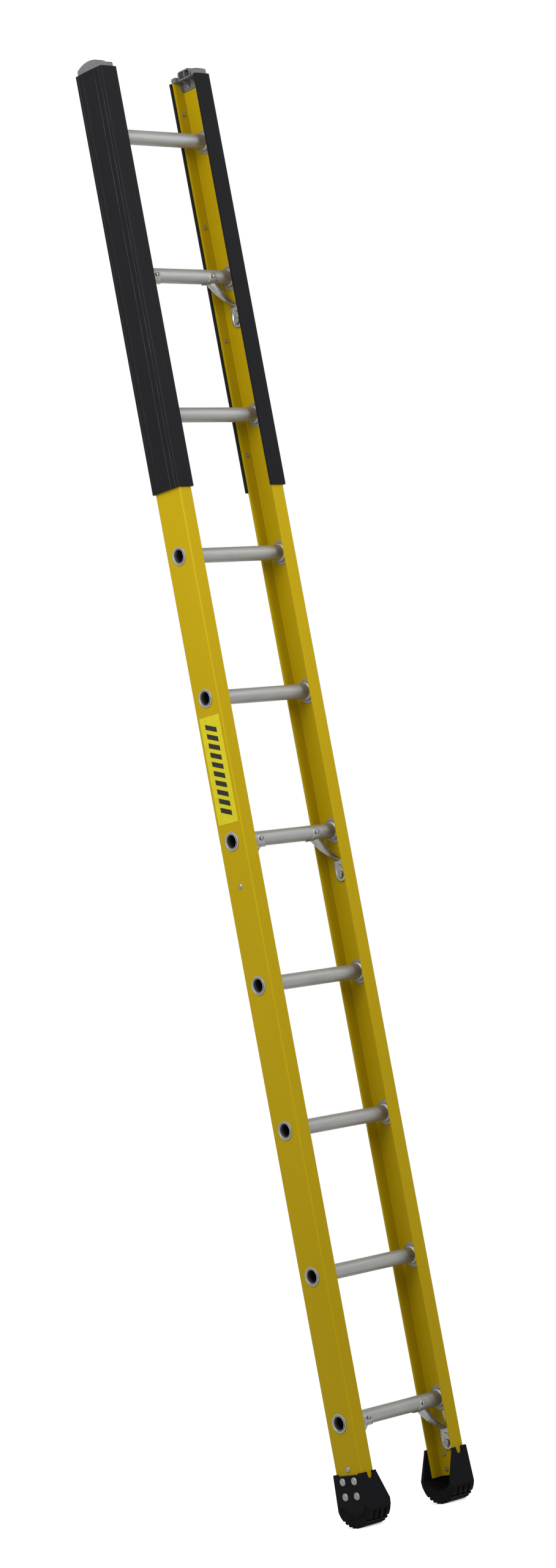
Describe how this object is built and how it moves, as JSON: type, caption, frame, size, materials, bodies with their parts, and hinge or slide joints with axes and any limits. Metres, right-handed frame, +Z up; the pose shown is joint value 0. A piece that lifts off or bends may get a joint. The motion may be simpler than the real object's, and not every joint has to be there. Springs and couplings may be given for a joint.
{
  "type": "fibreglass manhole ladder",
  "caption": "Straight single-section ladder with fibreglass channel rails, round braced aluminium rungs, black shields round the upper rails and round-soled shoes.",
  "frame": {"origin": "midway between the two feet, on the surface they stand on", "axes": "+Z up the rails, +X along the rungs towards the climber's right, -Y towards the climber"},
  "size_m": [0.3204, 0.0932, 3.122],
  "materials": {
    "rail_fibreglass": "pultruded fibreglass, satin gloss",
    "rung_aluminium": "extruded, finely ribbed along its length",
    "ring_aluminium": "formed and swaged",
    "brace_aluminium": "formed tube, satin",
    "rivet_metal": "bright plated",
    "shield_plastic": "extruded, satin black",
    "cap_plastic": "moulded, satin grey",
    "shoe_plastic": "moulded, dark grey",
    "tread_rubber": "moulded rubber",
    "label_film": "printed film"
  },
  "bodies": {
    "root": {"left_rail": "rail_fibreglass", "right_rail": "rail_fibreglass", "rung_01": "rung_aluminium", "rung_02": "rung_aluminium", "rung_03": "rung_aluminium", "rung_04": "rung_aluminium", "rung_05": "rung_aluminium", "rung_06": "rung_aluminium", "rung_07": "rung_aluminium", "rung_08": "rung_aluminium", "rung_09": "rung_aluminium", "rung_10": "rung_aluminium", "rung_ferrules_left": "ring_aluminium", "rung_washers_left": "ring_aluminium", "rung_brace_01_left": "brace_aluminium", "rung_brace_05_left": "brace_aluminium", "rung_brace_09_left": "brace_aluminium", "bottom_rung_strip_left": "brace_aluminium", "rail_shield_left": "shield_plastic", "shield_rivets_left": "rivet_metal", "top_cap_left": "cap_plastic", "cap_rivets_left": "rivet_metal", "shoe_shell_left": "shoe_plastic", "shoe_tread_left": "tread_rubber", "shoe_rivets_left": "rivet_metal", "rung_ferrules_right": "ring_aluminium", "rung_washers_right": "ring_aluminium", "rung_brace_01_right": "brace_aluminium", "rung_brace_05_right": "brace_aluminium", "rung_brace_09_right": "brace_aluminium", "bottom_rung_strip_right": "brace_aluminium", "rail_shield_right": "shield_plastic", "shield_rivets_right": "rivet_metal", "top_cap_right": "cap_plastic", "cap_rivets_right": "rivet_metal", "shoe_shell_right": "shoe_plastic", "shoe_tread_right": "tread_rubber", "shoe_rivets_right": "rivet_metal", "brace_rail_rivets": "rivet_metal", "brace_rung_rivets": "rivet_metal", "rail_label_left": "label_film"}
  },
  "joints": []
}
